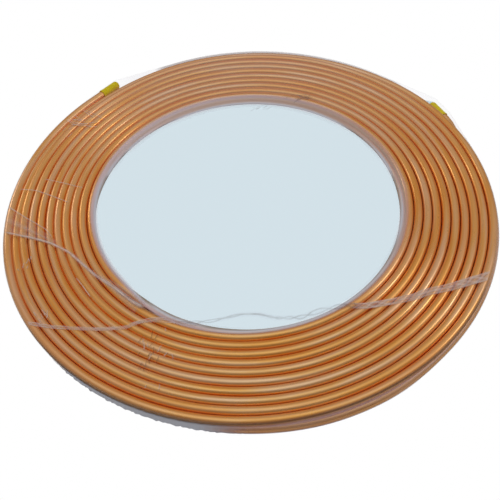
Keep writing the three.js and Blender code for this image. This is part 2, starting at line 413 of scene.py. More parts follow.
# how far out the upper layer's inner turns are pressed, by direction and by turns counted inwards: the square
# of the cosine from the pressed side, times a smooth rise over some turns
def pressedOut(degrees, turn):
    side = np.maximum(np.cos(np.radians(degrees - tube["pressedSide"])), 0) ** 2
    return tube["pressed"] * side * smooth(turn, *tube["pressedTurns"])


# how near a direction is to the upper cap's: a bell curve over the angle between them
def besideUpperCap(degrees):
    away = (degrees - upperCap["angle"] + 180) % 360 - 180
    return bell(away, 0, tube["giveSweep"])


# radius and height of the upper layer's centre line: the spiral, with what shifts each turn added to it
def upperTurns(angle):
    turn = np.clip((angle - w["upperLeave"]) / 360, 0, w["turns"])  # counted inwards
    fromCap = (angle - upperCap["angle"]) / 360  # counted from the cap, which pushes the next turns
    started = tube["startIn"] * (1 - smooth(angle, *tube["startFrom"]))
    gives = np.clip((tube["giveTurns"] + 1 - fromCap) / tube["giveTurns"], 0, 1)
    gives = gives * smooth(fromCap, *tube["giveFrom"]) * besideUpperCap(angle)
    sunk = plateau(angle, tube["sunkFrom"])
    radius = upperRadius(angle) + looseness(angle) * (middleTurn - turn) + pressedOut(angle, turn)
    radius = radius - started - tube["giveUpper"] * gives - tube["sunkIn"] * sunk
    return radius, w["upperHeight"] - tube["sunkDown"] * sunk


# radius of the lower layer's centre line: the spiral, with what shifts each turn added to it
def lowerTurns(low):
    turn = np.clip((w["lowerLeave"] - low) / 360, 0, w["turns"])  # counted inwards
    squeezed = tube["squeeze"] * (1 - turn / (w["turns"] - 1)) * plateau(low, tube["squeezeFrom"])
    bulged = tube["bulge"] * plateau(low, tube["bulgeFrom"])
    tucked = tube["tucked"] * turn / w["turns"] * np.maximum(np.sin(np.radians(low)), 0)
    gives = tube["giveLower"] * besideUpperCap(low) * np.clip(1 - turn / tube["giveTurns"], 0, 1)
    return lowerRadius(low) - squeezed + bulged + tucked - gives


# centre line by angle from the tube's upper end: each layer's turns run smoothly into the straight line of
# its tail, and the upper layer runs smoothly into the lower one where the tube dives
def tubeRoute(angle):
    low = angle - betweenLayers
    intoUpperTail = smooth(w["upperLeave"] - angle, 0, bendSweep)
    intoLowerTail = smooth(low - w["lowerLeave"], 0, bendSweep)
    upper, upperZ = upperTurns(angle)
    upper = mix(upper, straightRun(upperCap, angle), intoUpperTail)
    upperZ = mix(upperZ, upperCap["height"], intoUpperTail)
    lower = mix(lowerTurns(low), straightRun(lowerCap, low), intoLowerTail)
    lowerZ = mix(w["lowerHeight"], lowerCap["height"], intoLowerTail)
    dive = w["crossFrom"] + layerSweep
    across = smooth(angle, dive, dive + w["crossSweep"])
    return mix(upper, lower, across), mix(upperZ, lowerZ, across)


# centre line with its wander, by angle, and two unit vectors across it: outwards and up
def tubePath(first, last):
    count = int((last - first) / tube["stepDegrees"]) + 1
    angle = np.linspace(first, last, count)
    radius, height = tubeRoute(angle)
    turn = np.radians(angle)
    held = smooth(np.minimum(angle - first, last - angle), *tube["steady"])
    height = height + held * tube["liftWander"] * waves(turn, tube["liftWaves"])
    radius = radius + held * tube["sideWander"] * waves(turn, tube["sideWaves"])
    centre = np.stack([radius * np.cos(turn), radius * np.sin(turn), height], axis=1)
    tangent = np.gradient(centre, axis=0)
    tangent /= np.linalg.norm(tangent, axis=1)[:, None]
    out = np.stack([np.cos(turn), np.sin(turn), np.zeros(count)], axis=1)
    out -= (out * tangent).sum(axis=1)[:, None] * tangent
    out /= np.linalg.norm(out, axis=1)[:, None]
    return centre, out, np.cross(out, tangent)


# a circle carried along the path: centre + radius * (out * cos a + up * sin a), and back into each open end
def buildTube():
    short = math.degrees(tube["trim"] / w["outerRadius"])
    first = w["upperLeave"] - tailSweep + short
    last = w["lowerLeave"] + betweenLayers + tailSweep - short
    centre, out, up = tubePath(first, last)
    count = len(centre)
    along = np.concatenate([[0], np.cumsum(np.linalg.norm(np.diff(centre, axis=0), axis=1))])
    deep = int(tube["boreDepth"] / (along[1] - along[0]))
    ends = [deep, count - 1 - deep]  # how far the open ends are hollow
    inner = 1 - tube["wall"] / w["tubeRadius"]
    station = np.concatenate([[ends[0], 0], np.arange(count), [count - 1, ends[1]]])
    scale = np.concatenate([[inner, inner], np.ones(count), [inner, inner]]) * w["tubeRadius"]
    a = np.linspace(0, 2 * np.pi, tube["sides"], endpoint=False)
    ring = out[station][:, None] * np.cos(a)[None, :, None] + up[station][:, None] * np.sin(a)[None, :, None]
    points = centre[station][:, None] + scale[:, None, None] * ring
    rings, sides = points.shape[:2]
    points = np.concatenate([points.reshape(-1, 3), centre[ends]])
    poles = rings * sides
    faces = gridFaces(rings, sides)
    faces += poleFaces(0, sides, poles, True)
    faces += poleFaces((rings - 1) * sides, sides, poles + 1, False)
    across = [(scale[:, None] * turned[None, :]).ravel() for turned in (np.cos(a), np.sin(a))]
    space = np.stack([np.repeat(along[station], sides), *across], axis=1)
    space = np.concatenate([space, [[along[end], 0, 0] for end in ends]])
    thing = meshObject("tube_winding", points, faces, copperLook)
    putValues(thing, "tubeSpace", "FLOAT_VECTOR", space)
    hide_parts("tube_coil")
    print("tube", round(float(along[-1]), 2), "m", len(faces), "faces")
    return thing


buildTube()

# the end caps
cap = {
    "outer": 5.5 * mm,
    "bore": 4.9 * mm,
    "boreEnd": 0.6,  # share of the bore's radius where its flat end begins
    "boreRound": 0.6 * mm,
    "flare": 0.25 * mm,  # the mouth widens by this over the next length
    "flareLength": 0.4 * mm,
    "trim": 2.5 * mm,  # how much shorter it is at each end
    "endWall": 1.6 * mm,
    "endGap": 1.0 * mm,
    "endRound": 4.0 * mm,
    "endSteps": 8,
    "lip": 0.2 * mm,  # the mouth's rolled edge stands proud by this
    "lipPlaces": (0.4 * mm, 1.1 * mm, 1.7 * mm),  # its start, its end and where it has run out
    "waist": 0.12 * mm,
    "waistPlaces": (6 * mm, 12 * mm, 18 * mm),
    "filmTurns": 1 * mm,  # the film leaves the side this much before the tube's end
    "filmTip": (2 * mm, 2.6 * mm),  # and runs through this point, off the axis and past the tube's end
    "segments": 40,
}


# outline from the middle of the bore's end, out of the mouth, over the lip, back along the outside and round
# the closed end in a quarter circle
def capProfile():
    mouth = cap["trim"] - w["tubeInCap"] / 2
    boreEnd = w["tubeInCap"] / 2 - cap["trim"] + cap["endGap"]
    end = boreEnd + cap["endWall"]
    proud = cap["outer"] + cap["lip"]
    slim = cap["outer"] - cap["waist"]
    lipStart, lipEnd, lipGone = cap["lipPlaces"]
    line = [
        (cap["bore"] * cap["boreEnd"], boreEnd),
        (cap["bore"], boreEnd - cap["boreRound"]),
        (cap["bore"], mouth + cap["flareLength"]),
        (cap["bore"] + cap["flare"], mouth),
        (cap["outer"], mouth),
        (proud, mouth + lipStart),
        (proud, mouth + lipEnd),
        (cap["outer"], mouth + lipGone),
    ]
    line += [(slim, mouth + s) for s in cap["waistPlaces"]]
    r = cap["endRound"]
    for a in np.linspace(0, math.pi / 2, cap["endSteps"] + 1):
        line.append((slim - r * (1 - math.cos(a)), end - r * (1 - math.sin(a))))
    return np.array(line), boreEnd, end


# a cap's middle and its two level directions: outwards across it, and along it
def capAxes(place):
    turn = math.radians(place["angle"])
    yaw = turn - math.radians(place["splay"]) * place["way"]
    centre = place["radius"] * np.array([math.cos(turn), math.sin(turn), 0])
    out = np.array([math.cos(yaw), math.sin(yaw), 0])
    along = np.array([-math.sin(yaw), math.cos(yaw), 0]) * place["way"]
    return centre, out, along


# the outline turned round its axis: middle + along * s + r * (out * cos a + up * sin a)
def buildCap(name, place):
    line, boreEnd, end = capProfile()
    centre, out, along = capAxes(place)
    centre = centre + np.array([0, 0, place["height"]])
    up = np.array([0, 0, 1])
    segments = cap["segments"]
    a = np.linspace(0, 2 * np.pi, segments, endpoint=False)
    circle = np.cos(a)[:, None] * out + np.sin(a)[:, None] * up
    points = centre + line[:, 1, None, None] * along + line[:, 0, None, None] * circle[None]
    poles = centre + np.array([[boreEnd], [end]]) * along
    points = np.concatenate([points.reshape(-1, 3), poles])
    last = len(line) * segments
    faces = gridFaces(len(line), segments)
    faces += poleFaces(0, segments, last, True)
    faces += poleFaces(last - segments, segments, last + 1, False)
    if place["way"] < 0:  # this one points the other way, which would turn it inside out
        faces = [face[::-1] for face in faces]
    thing = meshObject("end_cap_" + name, points, faces, plasticLook)
    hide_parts(name + "_end_cap")
    return thing


buildCap("upper", upperCap)
buildCap("lower", lowerCap)
print("caps made")

# the film
wrap = {
    "clear": 0.4 * mm,  # how far it stands off the copper
    "columns": 810,
    "boreRings": 28,
    "boreCrowding": 1.6,  # the rings lie closer together towards the bore's rim
    "turnRings": 63,
    "underRings": 14,
    "roundSteps": 7,  # rings round each edge of the side
    "sideSteps": (0.25, 0.5, 0.75),
    "sideBow": 0.4 * mm,
    "groove": 0.3 * mm,  # it sinks this far between two turns
    "boreDip": 3.0 * mm,  # and this far just inside the bore's rim
    "dipWidth": 9 * mm,
    "dipLoss": 0.45,  # share of the dip that is gone at the next distance from the rim
    "dipEnd": 120 * mm,
    "ripple": 0.25 * mm,
    "rippleRates": (0.11, 0.07),  # per millimetre
    "rippleFrom": (4 * mm, 40 * mm),  # from the rim
    "rippleMiddle": (60 * mm, 120 * mm),  # from the axis
    "openRadius": 195 * mm,
    "openWave": 4 * mm,
    "openWaves": [(0.5, 7, 0), (0.3, 17, 1), (0.2, 41, 2)],
    "floorGap": 0.3 * mm,
    "skirt": 0.5 * mm,  # a ragged edge stands out at its foot
    "skirtStretch": (224, 263),
    "ragged": 1.8,
    "raggedWaves": [(0.4, 97, 0), (0.5, 171, 0), (0.5, 263, 1), (0.4, 331, 0)],
    "overLowerCap": 0.3 * mm,  # the top edge runs this much inside the lower cap
    "underUpperCap": 1.2 * mm,  # and the bottom edge inside the upper one
    "besideUpper": (6, 10, 6),  # degrees before and after a cap that lie straight, with their soft ends
    "besideLower": (12, 6, 6),
    "flatFrom": (0.7, 0.85),  # share of the way out from which it doesn't sink there
    "upperStep": (216, 244),  # where the innermost turn leaves each layer
    "lowerStep": (212, 224),
    "straightest": 60,  # a straight line of the outline counts this many degrees to either side of its middle
    "leftFarSide": 140,
}
filmReach = w["tubeRadius"] + wrap["clear"]
filmTop = w["upperHeight"] + filmReach

# the film's colour where it is bunched, and the colours of its painted shade and painted reflections
hazeTones = {
    # pale is also the colour of the painted reflection inside the bore's rim and of the painted highlight on
    # the side
    "pale": (0.98, 0.87, 0.98),
    "wall": (1.0, 0.79, 0.73),
    "fold": (0.90, 0.78, 0.74),
    "mauve": (0.70, 0.54, 0.64),
    # painted shade in the gap between the two layers
    "creviceShade": (0.10, 0.055, 0.04),
    "dark": (0.34, 0.28, 0.28),
    "rim": (0.50, 0.49, 0.55),
    "skirt": (0.80, 0.86, 1.0),
    "blue": (0.20, 0.75, 1.0),
    "stroke": (0.22, 0.07, 0.03),
}


# a tone by its name, ready for sums
def tone(name):
    return np.array(hazeTones[name])


# radius of the taut outline round some points of the plan, at each angle: for each direction of looking, the
# furthest point makes a straight line across it, and the nearest of these lines counts
def tautOutline(points, angles):
    looks = np.radians(np.arange(0, 360, 0.5))
    reach = (points[:, 0, None] * np.cos(looks) + points[:, 1, None] * np.sin(looks)).max(axis=0)
    apart = np.cos(angles[:, None] - looks[None, :])
    least = math.cos(math.radians(wrap["straightest"]))
    return np.where(apart > least, reach[None, :] / np.maximum(apart, least), np.inf).min(axis=1)


# points of the plan: radius times the cosine and the sine of the angle
def planPoints(degrees, radius):
    return np.stack([radius * np.cos(np.radians(degrees)), radius * np.sin(np.radians(degrees))], axis=1)


# corners of a cap in the plan: its mouth, where its side ends, and its round end
def capOutline(place, inset):
    centre, out, along = capAxes(place)
    half = w["tubeInCap"] / 2
    tipRadius, tipLength = cap["filmTip"]
    corners = [
        (cap["outer"] + cap["lip"], -half),
        (cap["outer"], half - cap["filmTurns"]),
        (tipRadius, half + tipLength),
    ]
    return np.array([centre + (r - inset) * out + s * along for r, s in corners])[:, :2]


# outermost turn of the upper layer by its direction from the axis: the tube's route over its first turn
def upperRim(degrees):
    return tubeRoute(np.where(degrees < w["upperLeave"], degrees + 360, degrees))


# outermost turn of the lower layer: the route over its last turn
def lowerRim(degrees):
    return tubeRoute(np.where(degrees > w["lowerLeave"], degrees - 360, degrees) + betweenLayers)


# innermost turn of the upper layer by direction: the spiral after all its turns, and one pitch further out
# from where the tube has dived
def upperInner(degrees):
    turn = (degrees + layerSweep - w["upperLeave"]) / 360
    step = smooth(degrees, *wrap["upperStep"])
    spread = looseness(degrees) * (middleTurn - turn + step)
    return upperRadius(degrees + layerSweep) + w["pitch"] * step + spread + pressedOut(degrees, turn)


# height of the film over the bore: the top, less a dip that is deepest a little inside the rim and shallower
# towards the middle, plus two sines along the radius that shift with the angle
def boreHeight(radius, angles, inner):
    inside = inner - radius
    loss = wrap["dipLoss"] * smooth(inside, wrap["dipWidth"], wrap["dipEnd"])
    dip = wrap["boreDip"] * smooth(inside, 0, wrap["dipWidth"]) * (1 - loss)
    first, second = (radius / mm * rate for rate in wrap["rippleRates"])
    ripple = wrap["ripple"] * (np.sin(first + 3 * np.sin(angles * 3)) + np.sin(second + angles * 5 + 1))
    ripple = ripple * smooth(inside, *wrap["rippleFrom"]) * smooth(radius, *wrap["rippleMiddle"])
    return filmTop - np.where(inside > 0, dip - ripple, 0)


# weight of a stretch of the rim, in degrees: 1 inside it, with soft ends
def stretch(degrees, first, last, soft):
    away = np.abs((degrees - (first + last) / 2 + 180) % 360 - 180)
    half = (last - first) / 2
    return 1 - smooth(away, half - soft / 2, half + soft / 2)


# the same for a stretch from some degrees before a cap to some degrees after it
def besideCap(degrees, place, before, after, soft):
    return stretch(degrees, place["angle"] - before, place["angle"] + after, soft)


# outlines of the film's top edge and foot, as radii of the centre lines that they go round
def filmOutlines(degrees, angles):
    grow = wrap["clear"]
    upperPlan = planPoints(degrees, upperRim(degrees)[0] + filmReach)
    lowerPlan = planPoints(degrees, lowerRim(degrees)[0] + filmReach)
    overCaps = [capOutline(upperCap, -grow), capOutline(lowerCap, wrap["overLowerCap"] - grow)]
    underCaps = [capOutline(lowerCap, -grow), capOutline(upperCap, wrap["underUpperCap"] - grow)]
    upper = tautOutline(np.concatenate([upperPlan, *overCaps]), angles) - filmReach
    lower = tautOutline(np.concatenate([lowerPlan, *underCaps]), angles) - filmReach
    skirt = stretch(degrees, *wrap["skirtStretch"], rimLook["soft"])
    ragged = wrap["ragged"] * waves(angles, wrap["raggedWaves"])
    return upper, lower + wrap["skirt"] * skirt * (1 + ragged)


# height of the film over the turns: a cosine wave with its tops on the turns and its dips between them, which
# is flat beside the caps
def turnHeight(turnR, part, degrees, nearCap):
    loose = looseness(degrees)
    phase = (w["outerRadius"] + middleTurn * loose - turnR) / (w["pitch"] + loose)
    phase = phase - (degrees - w["upperLeave"]) / 360
    sinks = 1 - nearCap * smooth(part, *wrap["flatFrom"])
    height = filmTop - wrap["groove"] * (0.5 - 0.5 * np.cos(2 * np.pi * phase)) * sinks
    height[-1] = filmTop
    return height


# the film's side, ring by ring from the top edge to the foot: round the upper centre line, down a wall that
# leans from the one layer to the other and bows in by half a sine wave, and round the lower centre line
def filmSide(upper, lower, nearCap):
    high, low = w["upperHeight"], w["lowerHeight"]
    lean = np.arctan2(lower - upper, high - low)
    rows = []
    for s in np.linspace(0, 1, wrap["roundSteps"])[1:]:
        a = mix(np.pi / 2, lean, s)
        rows.append((upper + filmReach * np.cos(a), high + filmReach * np.sin(a)))
    for s in wrap["sideSteps"]:
        bow = wrap["sideBow"] * math.sin(math.pi * s) * (1 - nearCap)
        out = mix(upper, lower, s) + filmReach * np.cos(lean) - bow
        rows.append((out, mix(high, low, s) + filmReach * np.sin(lean)))
    for s in np.linspace(0, 1, wrap["roundSteps"]):
        a = mix(lean, -np.pi / 2, s)
        rows.append((lower + filmReach * np.cos(a), low + filmReach * np.sin(a)))
    sideR = np.array([r for r, _ in rows])
    return sideR, np.maximum(np.array([z for _, z in rows]), wrap["floorGap"])


# how far a direction is to each side, as cosines that stop at 0, and some of their squares
def facing(angles):
    far = np.maximum(np.sin(angles), 0)
    left = np.maximum(-np.cos(angles), 0)
    right = np.maximum(np.cos(angles), 0)
    return {
        "everywhere": np.ones_like(angles),
        "far": far,
        "near": np.maximum(-np.sin(angles), 0),
        "left": left,
        "right": right,
        "leftNotFar": np.maximum(left - far, 0),
        "sharpRight": right**2,
        "sharpLeftFar": np.maximum(np.cos(angles - math.radians(wrap["leftFarSide"])), 0) ** 2,
    }


# a value by direction: the sum of the shares above, each with its weight
def bySide(sides, weights):
    return sum(size * sides[name] for name, size in weights.items())


# the look of the film inside the bore's rim; distances in millimetres from the rim, or from the wall's foot
boreLook = {
    "wall": {
        "everywhere": 5.0,
        "left": 1.2,
        "right": 1.5,
        "far": 14.8,
        "near": -8.5,
        "sharpLeftFar": 1.3,
        "leftNotFar": -1.2,
    },
    "wallLeast": 5.4,
    "tint": (-0.6, 0.8),  # from here on the tint of the bore is seen
    "band": {"everywhere": 2.2, "far": 2.4, "near": 0.8, "right": 0.6},  # a band of painted reflection beside the rim, where the film bends down
    "bandWidth": {"everywhere": 2.2, "near": -0.7},
    "bandHaze": {"everywhere": 0.56, "sharpLeftFar": 0.22, "sharpRight": -0.26},
    "veilFrom": (0.5, 3),
    "veilTo": (-0.6, 0.9),
    "veilHaze": {"everywhere": 0.40, "far": 0.10, "sharpLeftFar": 0.14, "sharpRight": -0.14},
    "veilGrowth": 0.32,
    "veilGrows": (-5, -1.5),
    "footHaze": 0.92,
    "footFrom": (-2.4, -1.0),
    "line": {"everywhere": 0.6, "far": 1.8},  # a bright line just past the foot
    "lineWidth": {"everywhere": 1.0, "far": 1.4},
    "lineHaze": 0.28,
    "most": 0.94,
    "warmFrom": (1, 3),  # from the band
    "warmTo": (-3.5, -1),
    "coolFrom": (-2.8, -0.8),
}


# haze, tint and colour over the bore, by distance inside the rim: a band of painted reflection where the film
# bends down, a veil over the wall that thickens towards its foot, partly film and partly painted reflection
# laid over the wall's shade, and a line past it, each a smooth step or a bell curve
def boreShading(inside, sides, innerGap):
    look = boreLook
    wall = innerGap + bySide(sides, look["wall"]) * mm  # the bore's wall shows through it
    wall = np.maximum(wall, look["wallLeast"] * mm)

    def past(span, place=wall):
        return smooth(inside, place + span[0] * mm, place + span[1] * mm)

    band = bySide(sides, look["band"]) * mm
    haze = bySide(sides, look["bandHaze"]) * bell(inside, band, bySide(sides, look["bandWidth"]) * mm, 4)
    veil = past(look["veilFrom"], 0) * (1 - past(look["veilTo"]))
    thicker = bySide(sides, look["veilHaze"]) + look["veilGrowth"] * past(look["veilGrows"])
    thicker = mix(thicker, look["footHaze"], past(look["footFrom"]))
    haze = np.maximum(haze, thicker * veil)
    line = wall + bySide(sides, look["line"]) * mm
    haze = haze + look["lineHaze"] * bell(inside, line, bySide(sides, look["lineWidth"]) * mm)
    warm = past(look["warmFrom"], band) * (1 - past(look["warmTo"])) * sides["far"]
    colour = mix(tone("pale"), tone("wall"), warm[:, :, None])
    colour = mix(colour, tone("skirt"), past(look["coolFrom"])[:, :, None])
    return np.minimum(haze, look["most"]), past(look["tint"]), colour


# the look of the film's side; stretches in degrees, places as a share of the way down it
rimLook = {
    "stretches": [
        (224, 263, 0.93, "skirt"),
        (263, 286, 0.48, "mauve"),
        (286, 350, 0.22, "mauve"),
        (20, 150, 0.70, "rim"),
        (350, 380, 0.30, "rim"),
        (150, 224, 0.12, "rim"),
    ],
    "soft": 12,
    "bridge": (0.4 * mm, 2 * mm),  # it is clear where it spans this far from a cap to the turns
    "fade": (0.12, 0.42),
    "foot": (0.75, 0.92),  # the film bunches at the foot
    "footGrowth": 0.8,
    "most": 0.96,
    "thinFrom": (0.30, 0.60),  # it thins down the rim on the far side
    "thinShare": 0.78,
    "front": (264, 352, 16),
    "clearLine": (0.55, 0.12),  # there the lower turn shows through
    "clearShare": 0.85,
    # a pale line of painted highlight where the film spans the gap between the layers
    "highlightLine": (0.39, 0.05),
    "highlightStrength": 0.5,
    "creviceShadeStretch": (214, 330, 14),
    "creviceShadeLine": (0.24, 0.07),  # painted shade in the gap under the outermost upper turn
    "creviceShadeStrength": 0.6,
    "overCap": (5, 5, 4),  # degrees before and after a cap that are clear
    "overLowerShare": 0.3,
    "turnHaze": 0.13,  # over the far turns
    "turnClear": (0.84, 0.92),
    "underHaze": 0.05,
}


# haze and colour of the film's side: each stretch's own, mixed where they meet, fading in from the top edge
# and thicker at the foot, with a clear line, a pale line of painted highlight and a dark line of painted
# shade along it
def rimShading(down, degrees, spans, byCap):
    look = rimLook
    weights = [stretch(degrees, first, last, look["soft"]) for first, last, _, _ in look["stretches"]]
    strengths = [strength for _, _, strength, _ in look["stretches"]]
    names = [name for _, _, _, name in look["stretches"]]
    total = sum(weights)
    density = sum(weight * strength for weight, strength in zip(weights, strengths)) / total
    colour = sum(weight[:, None] * tone(name) for weight, name in zip(weights, names)) / total[:, None]
    farShare = sum(weight for weight, name in zip(weights, names) if name == "rim") / total
    density = density * (1 - smooth(spans, *look["bridge"])) * (1 - byCap)
    thick = smooth(down, *look["fade"]) * (1 + look["footGrowth"] * smooth(down, *look["foot"]))
    thin = look["thinShare"] * farShare * smooth(down, *look["thinFrom"])
    front = stretch(degrees, *look["front"])
    clear = look["clearShare"] * front * bell(down, *look["clearLine"])
    # painted highlight along the film between the layers
    bright = look["highlightStrength"] * front * bell(down, *look["highlightLine"])
    # a dark line of painted shade under the outermost upper turn
    creviceShade = stretch(degrees, *look["creviceShadeStretch"]) * bell(down, *look["creviceShadeLine"])
    haze = np.clip(density * thick, 0, look["most"]) * (1 - thin) * (1 - clear)
    haze = np.maximum(np.maximum(haze, bright), look["creviceShadeStrength"] * creviceShade)
    colour = mix(colour, tone("pale"), np.minimum(bright / look["highlightStrength"], 1)[:, :, None])
    return haze, mix(colour, tone("creviceShade"), np.sqrt(creviceShade)[:, :, None])


# the whole film in rings: out over the bore, over the turns, down the side, and in along the floor
def buildFilm():
    count = wrap["columns"]
    degrees = np.arange(count) * 360 / count
    angles = np.radians(degrees)
    upper, lower = filmOutlines(degrees, angles)
    inner = upperInner(degrees)
    nearCap = besideCap(degrees, upperCap, *wrap["besideUpper"])
    nearCap = nearCap + besideCap(degrees, lowerCap, *wrap["besideLower"])

    share = 1 - (1 - np.linspace(0, 1, wrap["boreRings"] + 1)[1:]) ** wrap["boreCrowding"]
    boreR = inner * share[:, None]
    boreZ = boreHeight(boreR, angles, inner)
    part = np.linspace(0, 1, wrap["turnRings"] + 1)[1:, None]
    turnR = mix(inner, upper, part)
    turnZ = turnHeight(turnR, part, degrees, nearCap)
    sideR, sideZ = filmSide(upper, lower, nearCap)
    edge = wrap["openRadius"] + wrap["openWave"] * waves(angles, wrap["openWaves"])
    underR = mix(lower, edge, np.linspace(0, 1, wrap["underRings"] + 1)[1:, None])
    underZ = np.full_like(underR, wrap["floorGap"])

    allR = np.concatenate([boreR, turnR, sideR, underR])
    allZ = np.concatenate([boreZ, turnZ, sideZ, underZ])
    points = np.stack([allR * np.cos(angles), allR * np.sin(angles), allZ], axis=-1)
    points = np.concatenate([points.reshape(-1, 3), [[0, 0, float(boreZ[0].mean())]]])
    pole = len(allR) * count
    faces = gridFaces(len(allR), count) + poleFaces(0, count, pole, True)

    sides = facing(angles)
    lowerInner = lowerRadius(degrees - layerSweep) - w["pitch"] * smooth(degrees, *wrap["lowerStep"])
    lowerInner = lowerInner + tube["tucked"] * sides["far"]
    boreHaze, boreTint, boreTone = boreShading(inner - boreR, sides, inner - lowerInner)
    byCap = besideCap(degrees, upperCap, *rimLook["overCap"])
    byCap = byCap + rimLook["overLowerShare"] * besideCap(degrees, lowerCap, *rimLook["overCap"])
    turnHaze = rimLook["turnHaze"] * sides["far"] ** 2 * (1 - byCap * smooth(part, *rimLook["turnClear"]))
    down = np.linspace(0, 1, len(sideR))[:, None]  # from the top edge to the floor
    sideHaze, sideTone = rimShading(down, degrees, upper - upperRim(degrees)[0], byCap)
    underHaze = np.full_like(underR, rimLook["underHaze"])
    pale = np.zeros((count, 3)) + tone("pale")
    tones = [boreTone, [pale] * len(turnR), sideTone, [pale] * len(underR)]

    thing = meshObject("film_wrap", points, faces, filmLook)
    haze = np.concatenate([boreHaze, turnHaze, sideHaze, underHaze])
    overBore = np.append(boreTint.ravel(), np.zeros(haze.size - boreTint.size))
    putValues(thing, "haze", "FLOAT", np.append(haze.ravel(), 0.0))
    putValues(thing, "overBore", "FLOAT", np.append(overBore, 1.0))
    putValues(thing, "hazeTone", "FLOAT_VECTOR", np.append(np.concatenate(tones).ravel(), tone("pale")))
    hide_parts("wrap_film")
    print("film", len(faces), "faces")
    return thing


# pleats and creases, and one painted highlight: lines over the film, in millimetres, with their width at
# either end, strength and make
folds = [
    {
        "line": [
            (-268, -31), (-262, -33), (-235, -42), (-213, -51), (-192, -65),
            (-178, -80), (-161, -98), (-139, -116), (-123, -132), (-106, -143),
        ],
        "width": (4.6, 7.5),
        "strength": 1.0,
        "make": "line",
    },
    {
        "line": [(-270, 6), (-266, 4), (-245, -13), (-221, -31), (-212, -44)],
        "width": (3.0, 2.0),
        "strength": 0.75,
        "make": "line",
    },
    {
        "line": [(-268, -14), (-245, -28), (-226, -40), (-206, -52)],
        "width": (36, 4),
        "strength": 0.42,
        "make": "haze",
    },
    {
        "line": [(-158, -98), (-140, -114), (-126, -128), (-112, -141)],
        "width": (4, 20),
        "strength": 0.50,
        "make": "haze",
    },
    {
        "line": [
            (-229, -150), (-222, -151), (-199, -157), (-170, -161), (-150, -163),
            (-126, -163), (-116, -158), (-102, -155), (-78, -156),
        ],
        "width": (4.2, 4.6),
        "strength": 0.75,
        "make": "braid",
    },
    {
        "line": [(-122, -158), (-98, -158), (-78, -161), (-56, -164)],
        "width": (3, 2.4),
        "strength": 0.55,
        "make": "line",
    },
    {
        "line": [
            (-84, -157), (-73, -160), (-44, -160), (-14, -154), (3, -155),
            (20, -161), (44, -162), (64, -155), (84, -152), (107, -155),
        ],
        "width": (4.4, 9.0),
        "strength": 0.50,
        "make": "lines",
        "tone": "dark",
    },
    {
        "line": [
            (92, -153), (107, -155), (131, -152), (156, -148), (169, -143),
            (193, -139), (219, -132), (239, -127), (246, -125),
        ],
        "width": (7.0, 11.0),
        "strength": 0.85,
        "make": "braid",
    },
    {
        "line": [(-259, 31), (-240, 28), (-221, 18), (-200, 6)],
        "width": (2.6, 2.2),
        "strength": 0.75,
        "make": "line",
    },
    {
        "line": [(-232, 45), (-210, 37), (-186, 27)],
        "width": (2.4, 2.2),
        "strength": 0.65,
        "make": "line",
    },
    # a painted highlight: the film's glint along a groove, drawn as a pale line
    {
        "line": [(-181, -99), (-173, -110), (-164, -124)],
        "width": (2.0, 2.0),
        "strength": 0.85,
        "make": "line",
    },
    {  # a small light-blue patch by the lower cap
        "line": [(219, 150), (227, 147), (235, 142)],
        "width": (3.0, 8.0),
        "strength": 1.0,
        "make": "haze",
        "tone": "blue",
        "height": 13.0,
    },
]


# short scratches and puckers: how many, their middle and spread in millimetres, their direction in degrees,
# length, strength and colour
scratches = [
    (22, (-204, 147), (18, 15), -8, 38, 0.68, "fold"),
    (8, (-224, 126), (12, 12), 50, 16, 0.50, "fold"),
    (8, (-131, -120), (14, 10), 15, 16, 0.55, "fold"),
    (10, (-100, -195), (12, 26), 80, 10, 0.60, "fold"),
    (16, (-100, -195), (12, 28), 75, 11, 0.42, "stroke"),
    (6, (-233, -78), (6, 8), 95, 9, 0.80, "fold"),
    (6, (-206, -142), (7, 7), 120, 13, 0.70, "fold"),
    (14, (72, 160), (14, 4), -14, 14, 0.55, "dark"),
    (10, (24, 148), (13, 5), 10, 12, 0.25, "dark"),
]

foldLook = {
    "step": 1.2 * mm,
    "across": 13,  # points over a fold's width
    "rounding": 12,
    "lift": 0.12 * mm,  # how far it lies above the film
    "ridge": (0.12, 0.45 * mm),  # share of its width that it stands up, and the most
    "lineWidth": 0.45,  # as a share of half its width
    "strandWidth": 0.22,
    "swing": (0.42, 0.25),  # reach of the strands to either side, and how much it changes
    "swingRates": (0.24, 0.061, 0.043),  # per millimetre of run
    "swingDrift": 1.9,
    "haze": (0.65, 0.35),  # strength of the even part, then of the streaks
    "lines": (0.10, 0.7),  # of the ground, then of the strands
    "braid": (0.34, 0.45, 0.5),  # and of the edges
    "edgePlace": 0.75,
    "edgeWidth": 0.20,
    "roughStep": 4.0,  # millimetres between the places where its strength is drawn anew
    "roughRange": (0.55, 1.0),
    "fadeEnds": 0.06,  # share of its run that fades in, and out
    "scratchWidth": (2.2, 1.6),
    "scratchSpread": 0.6,  # share of its group's spread
    "scratchTurn": 18,  # degrees
    "scratchLengths": (0.4, 1.0),  # shares of its group's length
    "scratchBow": 0.08,
    "scratchRing": (183, 262),  # scratches outside this ring, in millimetres, are left out
}


# short bowed lines: each one's middle, direction, length and bow are drawn at random around its group's
def scratchLines(random):
    made = []
    least, most = foldLook["scratchRing"]
    for count, groupMiddle, spread, direction, length, strength, colour in scratches:
        for _ in range(count):
            middle = np.array(groupMiddle) + random.normal(0, foldLook["scratchSpread"], 2) * spread
            turn = math.radians(direction + random.normal(0, foldLook["scratchTurn"]))
            reach = length * random.uniform(*foldLook["scratchLengths"]) / 2
            way = np.array([math.cos(turn), math.sin(turn)])
            bow = np.array([-way[1], way[0]]) * random.normal(0, foldLook["scratchBow"]) * reach
            line = [middle - way * reach, middle + bow, middle + way * reach]
            ends = [np.hypot(*end) for end in line]
            if max(ends) > most or (min(ends) < least and colour != "dark"):
                continue
            fold = {"line": line, "width": foldLook["scratchWidth"], "strength": strength}
            made.append({**fold, "make": "line", "tone": colour})
    return made


